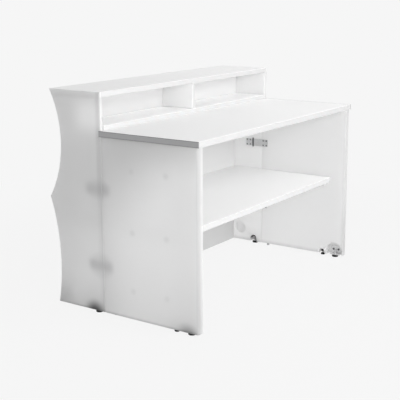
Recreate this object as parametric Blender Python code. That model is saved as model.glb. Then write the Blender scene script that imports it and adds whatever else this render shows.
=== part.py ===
"""Bar counter with a wave-fronted light box, an open cabinet on top and a worktop behind it.

Metres, +Z up. X runs along the counter, staff stand on its -Y side and customers on its +Y side.
The seam plane, where the legs meet the moulded ends, is the reference for every depth: a reach is
a distance from that plane, positive towards the customers. A depth into an end is measured
inwards from the counter's end face.
"""

import math

import bmesh
import bpy
from mathutils import Matrix, Vector

# Overall sizes
LENGTH = 1.555
HEIGHT = 1.100
WORKTOP_HEIGHT = 0.915
FLOOR_GAP = 0.012

# Boards
BOARD = 0.028
TOP_BOARD = 0.025
CABINET_FLOOR_BOARD = 0.024
DIVIDER_BOARD = 0.025
BACK_BOARD = 0.018
BASE_BOARD = 0.018
STRIP_THICKNESS = 0.002

# Depths
WORKTOP_OVERHANG = 0.563
WORKTOP_NOTCH = 0.013
CABINET_REBATE = 0.002
LEG_SETBACK = 0.005
CABINET_DEPTH = 0.200
LIGHT_GAP = 0.036
SHELF_OVERHANG = 0.468
SHELF_HEIGHT = 0.483

# Wave profile: how far each crest stands out from the upper hollow
TOP_CREST = 0.066
CUSP_CREST = 0.081
BASE_CREST = 0.046
CUSP_HEIGHT = 0.559
LOWER_WAVE_DEPTH = 0.037
WAVE_STEPS = 14

# Moulded ends and legs
PANEL = 0.045
SKIN = 0.005
CABINET_END = 0.025
LIP = 0.008
EDGE_ROUND = 0.006
RIM_ROUND = 0.012
SEAM_ROUND = 0.003
LEG_ROUND = 0.012
LEG_BOTTOM_ROUND = 0.005
ROUND_STEPS = 4
ACCESS_RADIUS = 0.036
ACCESS_REACH = 0.152
ACCESS_HEIGHT = 0.090
CABLE_RADIUS = 0.015
CABLE_HEIGHT = 0.330
POST_RADIUS = 0.012
POST_REACHES = (-0.180, -0.380)
POST_HEIGHTS = (0.154, 0.443, 0.740)

# Levelling feet and the recesses that they stand in
NICHE_WIDTH = 0.100
NICHE_HEIGHT = 0.076
NICHE_MARGIN = 0.005
LEG_ARCH_WIDTH = 0.036
LEG_ARCH_HEIGHT = 0.030
END_ARCH_WIDTH = 0.045
END_ARCH_HEIGHT = 0.040
LEG_FOOT_SPACING = 0.082
END_FOOT_REACH = 0.055
STEM_RADIUS = 0.004
STEM_GRIP = 0.030
STEM_HOLE = 0.045
BOSS_RADIUS = 0.012
END_PAD_RADIUS = 0.017
NICHE_PAD_RADIUS = 0.015
LEG_PAD_RADIUS = 0.013
PAD_NECK_RADIUS = 0.009
NICHE_STEM = 0.030
NICHE_FOOT_DEPTH = 0.0265
FRONT_FOOT_INSET = 0.060
FRONT_FOOT_MARGIN = 0.033
FRONT_STEM = 0.012
GLIDE_REACH = -0.045
GLIDE_DEPTH = 0.033
GLIDE_RADIUS = 0.008
GLIDE_PEG_RADIUS = 0.003
GLIDE_PEG = 0.004
BRACKET_WIDTH = 0.062
BRACKET_HEIGHT = 0.050
BRACKET_FLANGE = 0.027
BRACKET_SHEET = 0.003
NUT_RADIUS = 0.0056
NUT_HEIGHT = 0.008

# Fittings between the ends and the legs
PLATE_SHEET = 0.003
PLATE_HEIGHT = 0.044
UPPER_PLATE_HEIGHT = 0.645
LOWER_PLATE_HEIGHT = 0.260
SEAM_PLATE_STAFF = 0.040
SEAM_PLATE_CUSTOMER = 0.056
LOCK_PLATE_LENGTH = 0.044
ROLL_WIDTH = 0.010
ROLL_DEPTH = 0.0036
ROLL_LENGTH = 0.054
PLATE_GAP = 0.001
PLATE_ROUND = 0.003
PLATE_HOLE_RADIUS = 0.0028
PLATE_HOLE_INSET = 0.008
PLATE_HOLE_PITCH = 0.022

# Shelf rails
RAIL_WIDTH = 0.020
RAIL_HEIGHT = 0.025
RAIL_INSET = 0.030

# Lighting inside the wave front
CHANNEL_HEIGHT = 0.024
CHANNEL_DEPTH = 0.012
CHANNEL_WALL = 0.0015
CHANNEL_INSET = 0.060
STRIP_HEIGHT = 0.018
STRIP_BOARD = 0.0016
TOP_CHANNEL_DROP = 0.032
LOW_CHANNEL_RISE = 0.034
DRIVER_LENGTH = 0.300
DRIVER_DEPTH = 0.038
DRIVER_HEIGHT = 0.028
DRIVER_ROUND = 0.003
DRIVER_INSET = 0.110
BASE_BOARD_RISE = 0.010
LEAD_RADIUS = 0.0022
LEAD_PITCH = 0.008
LEAD_END_INSET = 0.014
LEAD_BEND = 0.015

# Fits
CLEAR = 0.0003
SEAM_GAP = 0.0005
PAST = 0.010
EDGE_BREAK = 0.0015

# Worked-out places
HOLLOW_REACH = CABINET_DEPTH + BACK_BOARD + LIGHT_GAP + SKIN
TOP_REACH = HOLLOW_REACH + TOP_CREST
CUSP_REACH = HOLLOW_REACH + CUSP_CREST
BASE_REACH = HOLLOW_REACH + BASE_CREST
DEPTH = WORKTOP_OVERHANG + max(CUSP_REACH, TOP_REACH, BASE_REACH)
SEAM_Y = WORKTOP_OVERHANG - DEPTH / 2
HALF = LENGTH / 2
BACK_REACH = CABINET_DEPTH + BACK_BOARD
LEG_STAFF_REACH = LEG_SETBACK - WORKTOP_OVERHANG
UNDER_WORKTOP = WORKTOP_HEIGHT - BOARD
UNDER_TOP = HEIGHT - TOP_BOARD
CABINET_SEAT = WORKTOP_HEIGHT - CABINET_REBATE
CABINET_FLOOR_TOP = CABINET_SEAT + CLEAR + CABINET_FLOOR_BOARD
SHELF_UNDER = SHELF_HEIGHT - BOARD
POCKET_DEPTH = PANEL - 2 * SKIN
NICHE_REACH = LEG_STAFF_REACH + NICHE_MARGIN + NICHE_WIDTH / 2
BASE_BOARD_TOP = FLOOR_GAP + BASE_BOARD_RISE + BASE_BOARD
FOOT_HEIGHT = FLOOR_GAP - CLEAR
FRONT_FOOT_REACH = BASE_REACH - FRONT_FOOT_MARGIN
SIDES = {"left": -1, "right": 1}


def clear_scene():
    """Removes whatever the opened file holds."""
    for item in list(bpy.data.objects):
        bpy.data.objects.remove(item, do_unlink=True)


def finish(name, colour, roughness, metallic=0.0):
    """A plain Principled material."""
    material = bpy.data.materials.new(name)
    material.use_nodes = True
    shader = material.node_tree.nodes["Principled BSDF"]
    shader.inputs["Base Color"].default_value = (*colour, 1.0)
    shader.inputs["Roughness"].default_value = roughness
    shader.inputs["Metallic"].default_value = metallic
    return material


# Outlines

def circle(centre, radius, sides):
    """Points round a circle, counter-clockwise."""
    turn = 2 * math.pi / sides
    return [
        (centre[0] + radius * math.cos(i * turn), centre[1] + radius * math.sin(i * turn))
        for i in range(sides)
    ]


def arc_through(first, middle, last, steps):
    """Points of the circular arc from first through middle to last, ends included."""
    ax, ay = first
    bx, by = middle
    cx, cy = last
    twice_area = 2 * (ax * (by - cy) + bx * (cy - ay) + cx * (ay - by))
    a2, b2, c2 = ax * ax + ay * ay, bx * bx + by * by, cx * cx + cy * cy
    ox = (a2 * (by - cy) + b2 * (cy - ay) + c2 * (ay - by)) / twice_area
    oy = (a2 * (cx - bx) + b2 * (ax - cx) + c2 * (bx - ax)) / twice_area
    radius = math.hypot(ax - ox, ay - oy)
    start = math.atan2(ay - oy, ax - ox)
    sweep = math.remainder(math.atan2(cy - oy, cx - ox) - start, 2 * math.pi)
    return [
        (ox + radius * math.cos(start + sweep * i / steps), oy + radius * math.sin(start + sweep * i / steps))
        for i in range(steps + 1)
    ]


def rounded_rectangle(low, high, radii):
    """Counter-clockwise outline; radii run from the low corner round to the left upper one."""
    corners = ((low[0], low[1]), (high[0], low[1]), (high[0], high[1]), (low[0], high[1]))
    points = []
    for index, (corner, radius) in enumerate(zip(corners, radii)):
        inward = (1 if index in (0, 3) else -1, 1 if index in (0, 1) else -1)
        centre = (corner[0] + inward[0] * radius, corner[1] + inward[1] * radius)
        start = math.pi + index * math.pi / 2
        for step in range(ROUND_STEPS + 1):
            angle = start + step / ROUND_STEPS * math.pi / 2
            points.append((centre[0] + radius * math.cos(angle), centre[1] + radius * math.sin(angle)))
    return points


def arch(reach, width, height, base):
    """Outline of a recess with a half-round head, in Y and Z."""
    radius = width / 2
    spring = FLOOR_GAP + height - radius
    y = SEAM_Y + reach
    steps = 3 * ROUND_STEPS
    head = [
        (y + radius * math.cos(math.pi * i / steps), spring + radius * math.sin(math.pi * i / steps))
        for i in range(steps + 1)
    ]
    return [(y - radius, base), (y + radius, base)] + head


def offset(points, distance, closed):
    """Moves an outline to its left by a distance, with mitred corners."""
    count = len(points)
    moved = []
    for index, (x, y) in enumerate(points):
        before = points[index - 1] if closed or index else None
        after = points[(index + 1) % count] if closed or index < count - 1 else None
        normals = []
        for a, b in ((before, (x, y)), ((x, y), after)):
            if a and b:
                run = math.hypot(b[0] - a[0], b[1] - a[1])
                normals.append((-(b[1] - a[1]) / run, (b[0] - a[0]) / run))
        nx = sum(n[0] for n in normals) / len(normals)
        ny = sum(n[1] for n in normals) / len(normals)
        scale = distance / (nx * nx + ny * ny)
        moved.append((x + nx * scale, y + ny * scale))
    return moved


def clip(outline, coordinate, limit, keep):
    """Keeps the part of an outline below or above a limit in one coordinate."""
    sign = 1 if keep == "below" else -1
    kept = []
    for a, b in zip(outline, outline[1:] + outline[:1]):
        da = sign * (limit - a[coordinate])
        db = sign * (limit - b[coordinate])
        if da >= 0:
            kept.append(a)
        if da * db < 0:
            share = da / (da - db)
            kept.append((a[0] + share * (b[0] - a[0]), a[1] + share * (b[1] - a[1])))
    return kept


def wave():
    """The customers' profile from the floor up, as reach and height: two hollows and a cusp."""
    base = (BASE_REACH, FLOOR_GAP)
    cusp = (CUSP_REACH, CUSP_HEIGHT)
    top = (TOP_REACH, HEIGHT)
    upper_hollow = (HOLLOW_REACH, (HEIGHT + CUSP_HEIGHT) / 2)
    lower_hollow = ((BASE_REACH + CUSP_REACH) / 2 - LOWER_WAVE_DEPTH, (FLOOR_GAP + CUSP_HEIGHT) / 2)
    lower = arc_through(base, lower_hollow, cusp, WAVE_STEPS)
    return lower + arc_through(cusp, upper_hollow, top, WAVE_STEPS)[1:]


def wave_reach(height):
    """Reach of the wave profile at a height."""
    points = wave()
    for (r0, z0), (r1, z1) in zip(points, points[1:]):
        if z0 <= height <= z1:
            return r0 + (r1 - r0) * (height - z0) / (z1 - z0)
    return points[-1][0]


def end_outline():
    """Outline of a moulded end in Y and Z, counter-clockwise."""
    profile = [(0.0, FLOOR_GAP)] + wave() + [(0.0, HEIGHT)]
    return [(SEAM_Y + reach, z) for reach, z in profile]


# Solids

def make(name, mesh, material=None):
    """Turns a bmesh into a named object with outward faces."""
    bmesh.ops.recalc_face_normals(mesh, faces=mesh.faces)
    data = bpy.data.meshes.new(name)
    mesh.to_mesh(data)
    mesh.free()
    if material:
        data.materials.append(material)
    item = bpy.data.objects.new(name, data)
    bpy.context.scene.collection.objects.link(item)
    return item


def spot(point, axis, along):
    """A 2D outline point in space, at a place along the extrusion axis."""
    values = list(point)
    values.insert(axis, along)
    return Vector(values)


def prism(name, outline, axis, start, end, material=None):
    """An outline extruded along X (0), Y (1) or Z (2)."""
    mesh = bmesh.new()
    face = mesh.faces.new([mesh.verts.new(spot(p, axis, start)) for p in outline])
    grown = bmesh.ops.extrude_face_region(mesh, geom=[face])
    far = [item for item in grown["geom"] if isinstance(item, bmesh.types.BMVert)]
    shift = Vector((0.0, 0.0, 0.0))
    shift[axis] = end - start
    bmesh.ops.translate(mesh, verts=far, vec=shift)
    return make(name, mesh, material)


def block(name, low, high, material=None):
    """A box between two corners."""
    outline = [(low[0], low[1]), (high[0], low[1]), (high[0], high[1]), (low[0], high[1])]
    return prism(name, outline, 2, low[2], high[2], material)


def turned(name, profile, centre, sides, material=None):
    """A profile of radius and height turned about a vertical axis, from its foot to its top."""
    mesh = bmesh.new()
    rings = []
    for radius, z in profile:
        rings.append([mesh.verts.new((x, y, z)) for x, y in circle((0.0, 0.0), radius, sides)])
    mesh.faces.new(rings[0])
    mesh.faces.new(rings[-1])
    for low, high in zip(rings, rings[1:]):
        for i in range(sides):
            j = (i + 1) % sides
            mesh.faces.new((low[i], low[j], high[j], high[i]))
    item = make(name, mesh, material)
    item.location = centre
    return item


def round_edges(item, width, steps, chosen):
    """Rounds the outward corners that a test picks."""
    mesh = bmesh.new()
    mesh.from_mesh(item.data)
    outward = [edge for edge in mesh.edges if edge.is_convex]
    edges = [edge for edge in outward if chosen(edge.verts[0].co, edge.verts[1].co)]
    bmesh.ops.bevel(mesh, geom=edges, offset=width, segments=steps, profile=0.5, affect="EDGES")
    bmesh.ops.recalc_face_normals(mesh, faces=mesh.faces)
    mesh.to_mesh(item.data)
    mesh.free()


def combine(item, others, operation="DIFFERENCE"):
    """Cuts the others out of an object, or joins them to it, and removes them."""
    for other in others:
        step = item.modifiers.new(other.name, "BOOLEAN")
        step.object = other
        step.operation = operation
    bpy.context.view_layer.update()
    graph = bpy.context.evaluated_depsgraph_get()
    result = bpy.data.meshes.new_from_object(item.evaluated_get(graph))
    item.modifiers.clear()
    item.data = result
    for other in others:
        bpy.data.objects.remove(other, do_unlink=True)
    return item


def shade(item, angle=35):
    """Smooth shading over round stretches, with sharp corners kept."""
    item.data.shade_smooth()
    item.data.set_sharp_from_angle(angle=math.radians(angle))


def across(side, near, far):
    """Low and high X of a slice between two depths into one end of the counter."""
    return sorted((side * (HALF - near), side * (HALF - far)))


def broken_edges(item):
    """Takes the sharpness off all the edges of a board."""
    round_edges(item, EDGE_BREAK, 1, lambda a, b: True)
    return item


# Boards

def counter_top(material):
    """Top board between the lips of the moulded ends; its front edge carries on the wave."""
    outline = [
        (SEAM_Y, UNDER_TOP),
        (SEAM_Y + wave_reach(UNDER_TOP), UNDER_TOP),
        (SEAM_Y + TOP_REACH, HEIGHT),
        (SEAM_Y, HEIGHT),
    ]
    end = HALF - LIP - CLEAR
    broken_edges(prism("counter_top", outline, 0, -end, end, material))


def worktop(material):
    """Work surface over the legs; a tongue between the moulded ends is rebated for the cabinet."""
    end = HALF - STRIP_THICKNESS - CLEAR
    tongue = HALF - PANEL - CLEAR
    staff = SEAM_Y - WORKTOP_OVERHANG
    notch = SEAM_Y + WORKTOP_NOTCH
    back = SEAM_Y + CABINET_DEPTH - CLEAR
    outline = [
        (-end, staff), (end, staff), (end, notch), (tongue, notch),
        (tongue, back), (-tongue, back), (-tongue, notch), (-end, notch),
    ]
    item = prism("worktop", outline, 2, UNDER_WORKTOP, WORKTOP_HEIGHT, material)
    rebate = block(
        "rebate",
        (-HALF - PAST, SEAM_Y - CLEAR, CABINET_SEAT),
        (HALF + PAST, back + PAST, WORKTOP_HEIGHT + PAST),
    )
    broken_edges(combine(item, [rebate]))


def worktop_strips(material):
    """Metal edge strips on the worktop's two ends."""
    for name, side in SIDES.items():
        low, high = across(side, 0, STRIP_THICKNESS)
        strip = block(
            f"worktop_strip_{name}",
            (low, SEAM_Y - WORKTOP_OVERHANG, UNDER_WORKTOP),
            (high, SEAM_Y + WORKTOP_NOTCH, WORKTOP_HEIGHT),
            material,
        )
        round_edges(strip, STRIP_THICKNESS / 4, 1, lambda a, b: abs(abs(a.x) + abs(b.x) - LENGTH) < CLEAR)


def shelf(material):
    """Lower shelf from the service panel to behind the legs' staff edges."""
    end = HALF - PANEL - CLEAR
    low = (-end, SEAM_Y - SHELF_OVERHANG, SHELF_UNDER)
    high = (end, SEAM_Y + CABINET_DEPTH - CLEAR, SHELF_HEIGHT)
    broken_edges(block("shelf", low, high, material))


def shelf_rails(material):
    """Rails under the shelf's two ends, on the inner faces of the legs and moulded ends."""
    for name, side in SIDES.items():
        low, high = across(side, PANEL + CLEAR, PANEL + CLEAR + RAIL_WIDTH)
        rail = block(
            f"shelf_rail_{name}",
            (low, SEAM_Y - SHELF_OVERHANG + RAIL_INSET, SHELF_UNDER - CLEAR - RAIL_HEIGHT),
            (high, SEAM_Y + CABINET_DEPTH - RAIL_INSET, SHELF_UNDER - CLEAR),
            material,
        )
        broken_edges(rail)


def cabinet(material):
    """Floor, back and divider of the open cabinet above the worktop."""
    end = HALF - CABINET_END - CLEAR
    staff = SEAM_Y
    back = SEAM_Y + CABINET_DEPTH
    floor_low = CABINET_SEAT + CLEAR
    ceiling = UNDER_TOP - CLEAR
    broken_edges(
        block("cabinet_floor", (-end, staff, floor_low), (end, back - CLEAR, CABINET_FLOOR_TOP), material)
    )
    broken_edges(
        block("cabinet_back", (-end, back, floor_low), (end, back + BACK_BOARD, ceiling), material)
    )
    broken_edges(
        block(
            "cabinet_divider",
            (-DIVIDER_BOARD / 2, staff, CABINET_FLOOR_TOP + CLEAR),
            (DIVIDER_BOARD / 2, back - CLEAR, ceiling),
            material,
        )
    )


def light_box(front_material, board_material):
    """Wave front, the service panel behind it and the board that closes it below."""
    end = HALF - PANEL - CLEAR
    points = wave()
    foot = (points[0][0] + points[0][0] - points[1][0], 2 * points[0][1] - points[1][1])
    outer = [(SEAM_Y + reach, z) for reach, z in [foot] + points]
    band = outer + offset(outer, SKIN, False)[::-1]
    band = clip(clip(band, 1, FLOOR_GAP, "above"), 1, UNDER_TOP - CLEAR, "below")
    shade(prism("wave_front", band, 0, -end, end, front_material))
    back = SEAM_Y + CABINET_DEPTH
    broken_edges(
        block(
            "service_panel",
            (-end, back, FLOOR_GAP),
            (end, back + BACK_BOARD, CABINET_SEAT),
            board_material,
        )
    )
    base_low = BASE_BOARD_TOP - BASE_BOARD
    nearest = min(wave_reach(base_low), wave_reach(BASE_BOARD_TOP))
    base = block(
        "light_box_base",
        (-end, SEAM_Y + BACK_REACH + CLEAR, base_low),
        (end, SEAM_Y + nearest - SKIN - 2 * CLEAR, BASE_BOARD_TOP),
        board_material,
    )
    broken_edges(base)
    hole = [(STEM_RADIUS + CLEAR, base_low - PAST), (STEM_RADIUS + CLEAR, BASE_BOARD_TOP + PAST)]
    combine(base, [turned("foot_hole", hole, front_foot_place(side), 16) for side in SIDES.values()])


# Moulded ends and legs

def recess_cutter(side, reach, width, height):
    """Cutter for a foot's recess in the inner face of an end or leg."""
    low, high = across(side, PANEL - POCKET_DEPTH, PANEL + PAST)
    return prism("recess", arch(reach, width, height, FLOOR_GAP - PAST), 0, low, high)


def recess_wall(side, reach, width, height):
    """What a recess and its wall keep out of the hollow of an end or leg."""
    low, high = across(side, -PAST, PANEL + PAST)
    outline = arch(reach, width + 2 * SKIN, height + SKIN, FLOOR_GAP - PAST)
    return prism("recess_wall", outline, 0, low, high)


def stem_place(side, reach, depth=PANEL / 2):
    """Where the axis of a foot meets the floor, at a depth into one end of the counter."""
    return (side * (HALF - depth), SEAM_Y + reach, 0.0)


def stem_boss(side, reach, width, height):
    """Solid boss over a recess, which a foot's stem screws into."""
    crown = FLOOR_GAP + height
    profile = [(BOSS_RADIUS, crown - width / 2), (BOSS_RADIUS, crown + STEM_HOLE + SKIN)]
    return turned("boss", profile, stem_place(side, reach), 16)


def stem_hole(side, reach, width, height):
    """Blind hole of a boss."""
    crown = FLOOR_GAP + height
    radius = STEM_RADIUS + CLEAR
    profile = [(radius, crown - width / 2), (radius, crown + STEM_HOLE)]
    return turned("stem_hole", profile, stem_place(side, reach), 16)


def cable_hole(side):
    """Outline of the hole through the two facing edges at the seam, for a cable and to vent the hollow."""
    return circle((side * (HALF - PANEL / 2), CABLE_HEIGHT), CABLE_RADIUS, 16)


def end_hollow(side):
    """Cutter for the hollow of a moulded end, with the walls of its cabinet, notch and recesses kept."""
    inner = clip(offset(end_outline(), SKIN, True), 1, UNDER_TOP - SKIN, "below")
    low, high = across(side, SKIN, PANEL - SKIN)
    hollow = prism("hollow", inner, 0, low, high)
    cabinet_low, cabinet_high = across(side, CABINET_END - SKIN, PANEL + PAST)
    cabinet_wall = block(
        "cabinet_wall",
        (cabinet_low, SEAM_Y - PAST, CABINET_SEAT - SKIN),
        (cabinet_high, SEAM_Y + BACK_REACH + CLEAR + SKIN, HEIGHT + PAST),
    )
    kept = [
        cabinet_wall,
        notch_cutter(side, SKIN),
        recess_wall(side, END_FOOT_REACH, END_ARCH_WIDTH, END_ARCH_HEIGHT),
        stem_boss(side, END_FOOT_REACH, END_ARCH_WIDTH, END_ARCH_HEIGHT),
    ]
    return combine(hollow, kept)


def notch_cutter(side, wall):
    """Where the worktop's end enters a moulded end, grown by a wall."""
    low, high = across(side, -PAST, PANEL + PAST)
    return block(
        "notch",
        (low, SEAM_Y - PAST, UNDER_WORKTOP - CLEAR - wall),
        (high, SEAM_Y + WORKTOP_NOTCH + CLEAR + wall, WORKTOP_HEIGHT + CLEAR + wall),
    )


def cabinet_cutter(side):
    """Space of the cabinet in a moulded end, with the rim's inner edge left round."""
    far = side * (HALF - PANEL - PAST)
    face = side * (HALF - CABINET_END)
    rim = side * (HALF - CABINET_END + RIM_ROUND)
    back = SEAM_Y + BACK_REACH + CLEAR
    centre = (rim, SEAM_Y + RIM_ROUND)
    middle = (
        centre[0] - side * RIM_ROUND * math.cos(math.pi / 4),
        centre[1] - RIM_ROUND * math.sin(math.pi / 4),
    )
    rounding = arc_through((rim, SEAM_Y), middle, (face, SEAM_Y + RIM_ROUND), ROUND_STEPS)
    outline = [(far, SEAM_Y - PAST), (rim, SEAM_Y - PAST)] + rounding + [(face, back), (far, back)]
    return prism("cabinet_space", outline, 2, CABINET_SEAT, UNDER_TOP + PAST)


def end_shells(material):
    """Hollow translucent ends with the wave profile, a cable hole and a recess for a foot each."""
    for name, side in SIDES.items():
        low, high = across(side, 0, PANEL)
        shell = prism(f"end_shell_{name}", end_outline(), 0, low, high, material)
        round_edges(shell, EDGE_ROUND, 3, lambda a, b: min(abs(a.x), abs(b.x)) > HALF - CLEAR)
        inner_face = HALF - PANEL + CLEAR
        round_edges(
            shell,
            SEAM_ROUND,
            2,
            lambda a, b: max(abs(a.x), abs(b.x)) < inner_face and max(a.y, b.y) < SEAM_Y + CLEAR,
        )
        rebate_low, rebate_high = across(side, LIP, PANEL + PAST)
        rebate = block(
            "rebate",
            (rebate_low, SEAM_Y - PAST, UNDER_TOP),
            (rebate_high, SEAM_Y + CUSP_REACH + PAST, HEIGHT + PAST),
        )
        access_low, access_high = across(side, PANEL / 2, PANEL + PAST)
        access = prism(
            "access",
            circle((SEAM_Y + ACCESS_REACH, ACCESS_HEIGHT), ACCESS_RADIUS, 32),
            0,
            access_low,
            access_high,
        )
        cable = prism("cable", cable_hole(side), 1, SEAM_Y - PAST, SEAM_Y + 2 * SKIN)
        cutters = [
            rebate,
            cabinet_cutter(side),
            notch_cutter(side, 0.0),
            end_hollow(side),
            access,
            cable,
            recess_cutter(side, END_FOOT_REACH, END_ARCH_WIDTH, END_ARCH_HEIGHT),
            stem_hole(side, END_FOOT_REACH, END_ARCH_WIDTH, END_ARCH_HEIGHT),
        ]
        shade(combine(shell, cutters))


def leg_plan(side, inset):
    """Plan outline of a leg, drawn in by an inset; its staff edge is the rounder one."""
    low, high = across(side, inset, PANEL - inset)
    staff = LEG_ROUND - inset
    seam = max(SEAM_ROUND - inset, SEAM_ROUND / 2)
    corner_low = (low, SEAM_Y + LEG_STAFF_REACH + inset)
    corner_high = (high, SEAM_Y - SEAM_GAP - inset)
    return rounded_rectangle(corner_low, corner_high, (staff, staff, seam, seam))


def leg_hollow(side):
    """Cutter for the hollow of a leg, with its posts and the walls of its recesses kept."""
    top = UNDER_WORKTOP - CLEAR - SKIN
    hollow = prism("hollow", leg_plan(side, SKIN), 2, FLOOR_GAP + SKIN, top)
    second = NICHE_REACH + LEG_FOOT_SPACING
    kept = [
        recess_wall(side, NICHE_REACH, NICHE_WIDTH, NICHE_HEIGHT),
        recess_wall(side, second, LEG_ARCH_WIDTH, LEG_ARCH_HEIGHT),
        stem_boss(side, second, LEG_ARCH_WIDTH, LEG_ARCH_HEIGHT),
    ]
    low, high = across(side, -PAST, PANEL + PAST)
    for reach in POST_REACHES:
        for height in POST_HEIGHTS:
            kept.append(prism("post", circle((SEAM_Y + reach, height), POST_RADIUS, 16), 0, low, high))
    return combine(hollow, kept)


def legs(material):
    """Hollow translucent legs with six posts between their skins and recesses for two feet each."""
    for name, side in SIDES.items():
        leg = prism(f"leg_{name}", leg_plan(side, 0.0), 2, FLOOR_GAP, UNDER_WORKTOP - CLEAR, material)
        round_edges(leg, LEG_BOTTOM_ROUND, 3, lambda a, b: max(a.z, b.z) < FLOOR_GAP + CLEAR)
        second = NICHE_REACH + LEG_FOOT_SPACING
        cable = prism("cable", cable_hole(side), 1, SEAM_Y - 2 * SKIN, SEAM_Y + PAST)
        peg = glide_profile(CLEAR)
        cutters = [
            leg_hollow(side),
            cable,
            recess_cutter(side, NICHE_REACH, NICHE_WIDTH, NICHE_HEIGHT),
            recess_cutter(side, second, LEG_ARCH_WIDTH, LEG_ARCH_HEIGHT),
            stem_hole(side, second, LEG_ARCH_WIDTH, LEG_ARCH_HEIGHT),
            turned("peg", peg, stem_place(side, GLIDE_REACH, GLIDE_DEPTH), 16),
        ]
        shade(combine(leg, cutters))


# Feet, glides and fittings

def glide_profile(clearance):
    """Profile of a glide's peg, or with a clearance the hole for it."""
    radius = GLIDE_PEG_RADIUS + clearance
    start = FOOT_HEIGHT - PAST * (clearance > 0)
    return [(radius, start), (radius, FLOOR_GAP + GLIDE_PEG + clearance)]


def glides(material):
    """Fixed glides under the legs' seam ends, each with a peg in the leg's bottom wall."""
    bevel = GLIDE_RADIUS / 6
    for name, side in SIDES.items():
        profile = [(GLIDE_RADIUS - bevel, 0.0), (GLIDE_RADIUS, bevel), (GLIDE_RADIUS, FOOT_HEIGHT)]
        profile += glide_profile(0.0)
        shade(turned(f"glide_{name}", profile, stem_place(side, GLIDE_REACH, GLIDE_DEPTH), 16, material))


def foot(name, place, pad, stem_top, material):
    """Levelling foot: a pad with a neck and a threaded stem, on its own vertical axis."""
    bevel = pad / 8
    profile = [
        (pad - bevel, 0.0),
        (pad, bevel),
        (pad, FOOT_HEIGHT / 2),
        (PAD_NECK_RADIUS, FOOT_HEIGHT),
        (STEM_RADIUS, FOOT_HEIGHT),
        (STEM_RADIUS, stem_top - STEM_RADIUS / 4),
        (STEM_RADIUS * 3 / 4, stem_top),
    ]
    shade(turned(name, profile, place, 20, material))


def front_foot_place(side):
    """Where the axis of a foot under the light box's base board meets the floor."""
    return stem_place(side, FRONT_FOOT_REACH, PANEL + FRONT_FOOT_INSET)


def feet(material):
    """Four feet at each end: two under the leg, one under the moulded end, one under the light box."""
    leg_top = FLOOR_GAP + LEG_ARCH_HEIGHT + STEM_GRIP
    end_top = FLOOR_GAP + END_ARCH_HEIGHT + STEM_GRIP
    for name, side in SIDES.items():
        niche = stem_place(side, NICHE_REACH, NICHE_FOOT_DEPTH)
        second = stem_place(side, NICHE_REACH + LEG_FOOT_SPACING)
        staff = stem_place(side, END_FOOT_REACH)
        foot(f"foot_{name}_leg_edge", niche, NICHE_PAD_RADIUS, FLOOR_GAP + NICHE_STEM, material)
        foot(f"foot_{name}_leg_middle", second, LEG_PAD_RADIUS, leg_top, material)
        foot(f"foot_{name}_end_staff", staff, END_PAD_RADIUS, end_top, material)
        front = front_foot_place(side)
        foot(f"foot_{name}_end_customer", front, END_PAD_RADIUS, BASE_BOARD_TOP + FRONT_STEM, material)


def foot_brackets(material):
    """Angle brackets in the large recesses, each with a threaded bush that carries a foot's stem."""
    seat = PANEL - POCKET_DEPTH + CLEAR
    flange_low = FLOOR_GAP
    flange_high = FLOOR_GAP + BRACKET_SHEET
    for name, side in SIDES.items():
        wall = side * (HALF - seat)
        sheet = side * (HALF - seat - BRACKET_SHEET)
        lip = side * (HALF - seat - BRACKET_FLANGE)
        outline = [
            (wall, flange_low), (lip, flange_low), (lip, flange_high),
            (sheet, flange_high), (sheet, flange_low + BRACKET_HEIGHT), (wall, flange_low + BRACKET_HEIGHT),
        ]
        y = SEAM_Y + NICHE_REACH
        ends = (y - BRACKET_WIDTH / 2, y + BRACKET_WIDTH / 2)
        bracket = prism(f"foot_bracket_{name}", outline, 1, *ends, material)
        nut_profile = [(NUT_RADIUS, flange_low + BRACKET_SHEET / 2), (NUT_RADIUS, flange_high + NUT_HEIGHT)]
        axis = stem_place(side, NICHE_REACH, NICHE_FOOT_DEPTH)
        nut = turned("nut", nut_profile, axis, 12)
        combine(bracket, [nut], "UNION")
        bore = STEM_RADIUS + CLEAR
        bore_profile = [(bore, flange_low - PAST), (bore, flange_high + NUT_HEIGHT + PAST)]
        shade(combine(bracket, [turned("bore", bore_profile, axis, 16)]))


def plate(name, side, outer, inner, height, material):
    """Flat metal plate on an inner face, with two pairs of screw holes towards its outer end."""
    low, high = across(side, PANEL + CLEAR, PANEL + CLEAR + PLATE_SHEET)
    y0, y1 = sorted((SEAM_Y + outer, SEAM_Y + inner))
    z0, z1 = height - PLATE_HEIGHT / 2, height + PLATE_HEIGHT / 2
    outline = rounded_rectangle((y0, z0), (y1, z1), [PLATE_ROUND] * 4)
    item = prism(name, outline, 0, low, high, material)
    inward = math.copysign(1.0, inner - outer)
    first = SEAM_Y + outer + inward * PLATE_HOLE_INSET
    holes = []
    for y in (first, first + inward * PLATE_HOLE_PITCH):
        for z in (z0 + PLATE_HOLE_INSET, z1 - PLATE_HOLE_INSET):
            holes.append(prism("hole", circle((y, z), PLATE_HOLE_RADIUS, 10), 0, low - PAST, high + PAST))
    return combine(item, holes)


def rolled_edge(side, reach, height):
    """Flattened roll along a lock plate's edge, which takes the hook of the plate across the seam."""
    low, high = across(side, PANEL + CLEAR, PANEL + CLEAR + ROLL_DEPTH)
    y = SEAM_Y + reach
    corners = ((low, y - ROLL_WIDTH / 2), (high, y + ROLL_WIDTH / 2))
    outline = rounded_rectangle(*corners, [ROLL_DEPTH / 3] * 4)
    return prism("roll", outline, 2, height - ROLL_LENGTH / 2, height + ROLL_LENGTH / 2)


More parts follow.
